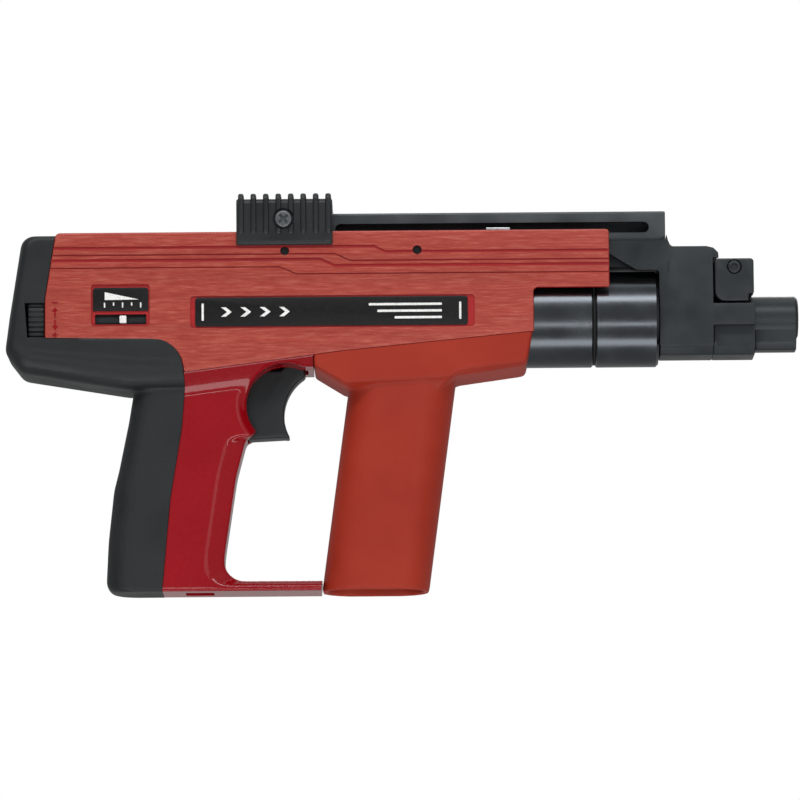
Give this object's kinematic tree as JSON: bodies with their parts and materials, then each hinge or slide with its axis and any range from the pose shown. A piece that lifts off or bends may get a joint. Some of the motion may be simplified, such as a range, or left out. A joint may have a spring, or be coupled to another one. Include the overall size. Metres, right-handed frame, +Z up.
{
  "type": "powder-actuated nail gun",
  "caption": "Powder-actuated nail gun with a red casing, two grips, sliding rail and knob, collared barrel and nose guide; trigger, power wheel and firing parts move.",
  "frame": {"origin": "on the ground plane under the middle of the tool's length and width, where it stands on its two grips", "axes": "+X towards the muzzle along the barrel, +Y to the tool's left side, +Z up"},
  "size_m": [0.37, 0.0564, 0.1846],
  "materials": {
    "red_housing": "brushed red enamel, satin",
    "red_frame": "gloss crimson enamel",
    "red_grip": "satin orange-red moulded plastic",
    "black_plastic": "satin black moulded plastic",
    "black_steel": "black oxide, satin",
    "bright_steel": "ground bright steel",
    "label_black": "satin black film",
    "white_mark": "white moulded plastic",
    "black_rubber": "black rubber"
  },
  "bodies": {
    "housing": {"main_housing": "red_housing", "rear_cover": "black_plastic", "handle_frame": "red_frame", "front_grip": "red_grip", "label_plate": "label_black", "scale_plate": "label_black", "rail_guide": "bright_steel", "rear_cross_pin": "black_steel", "front_cross_pin": "black_steel", "strip_guide": "bright_steel", "breech_block": "black_steel", "striker_tube": "black_steel", "firing_spring": "bright_steel", "trigger_pin": "bright_steel", "trigger_spring": "bright_steel", "sear_pin": "bright_steel", "feed_pawl_pin": "bright_steel", "pressure_spring": "bright_steel"},
    "trigger": {"trigger": "black_plastic"},
    "sear": {"sear": "black_steel"},
    "firing_pin": {"firing_pin": "bright_steel"},
    "regulator_wheel": {"regulator_wheel": "black_plastic"},
    "regulator_sleeve": {"regulator_sleeve": "black_steel", "power_pointer": "white_mark"},
    "feed_pawl": {"feed_pawl": "bright_steel"},
    "pressure_ring": {"pressure_ring": "black_steel"},
    "barrel": {"barrel_tube": "black_steel", "rear_collar": "black_steel", "collar_seal": "black_rubber", "front_collar": "black_steel", "buffer": "black_rubber", "slide_rail": "black_steel", "cocking_knob": "black_plastic", "knob_screw_right": "black_steel", "knob_screw_left": "black_steel", "nose_bracket": "black_steel", "nose_block": "black_steel", "fastener_guide": "black_steel", "latch_pin": "black_steel"},
    "piston": {"piston": "bright_steel", "piston_ring": "bright_steel"},
    "guide_latch": {"guide_latch": "black_steel"}
  },
  "joints": [
    {"name": "contact_pressure", "type": "slide", "parent": "housing", "child": "pressure_ring", "axis": [1, 0, 0], "range_m": [-0.01, 0], "stiffness_N_per_m": 2500, "springref_m": 0.006, "deforming": ["pressure_spring"]},
    {"name": "cocking_slide", "type": "slide", "parent": "pressure_ring", "child": "barrel", "axis": [1, 0, 0], "range_m": [0, 0.065]},
    {"name": "trigger_pull", "type": "hinge", "parent": "housing", "child": "trigger", "pos_m": [-0.049, 0, 0.1082], "axis": [0, 1, 0], "range_deg": [0, 11.5], "stiffness_Nm_per_rad": 0.6, "springref_deg": -11.46, "deforming": ["trigger_spring"]},
    {"name": "sear_trip", "type": "hinge", "parent": "housing", "child": "sear", "pos_m": [-0.118, 0, 0.1042], "axis": [0, -1, 0], "range_deg": [0, 8.7]},
    {"name": "firing_pin_stroke", "type": "slide", "parent": "housing", "child": "firing_pin", "axis": [1, 0, 0], "range_m": [-0.012, 0], "stiffness_N_per_m": 800, "springref_m": 0.003, "deforming": ["firing_spring"]},
    {"name": "power_wheel", "type": "hinge", "parent": "housing", "child": "regulator_wheel", "pos_m": [-0.17, 0, 0.1276], "axis": [1, 0, 0], "range_deg": [-545, 545]},
    {"name": "regulator_slide", "type": "slide", "parent": "housing", "child": "regulator_sleeve", "axis": [1, 0, 0], "range_m": [-0.0084, 0.0084]},
    {"name": "feed_pawl_swing", "type": "hinge", "parent": "housing", "child": "feed_pawl", "pos_m": [-0.095, 0.0102, 0.12], "axis": [-1, 0, 0], "range_deg": [0, 8.1]},
    {"name": "piston_stroke", "type": "slide", "parent": "barrel", "child": "piston", "axis": [1, 0, 0], "range_m": [0, 0.125]},
    {"name": "latch_swing", "type": "hinge", "parent": "barrel", "child": "guide_latch", "pos_m": [0.155, 0, 0.1497], "axis": [0, -1, 0], "range_deg": [0, 10], "stiffness_Nm_per_rad": 0.3, "springref_deg": -17.19}
  ],
  "couplings": [
    {"joint": "sear_trip", "follows": "trigger_pull", "ratio": 0.75},
    {"joint": "power_wheel", "follows": "regulator_slide", "rad_per_m": 1122},
    {"joint": "feed_pawl_swing", "follows": "contact_pressure", "rad_per_m": -14}
  ]
}
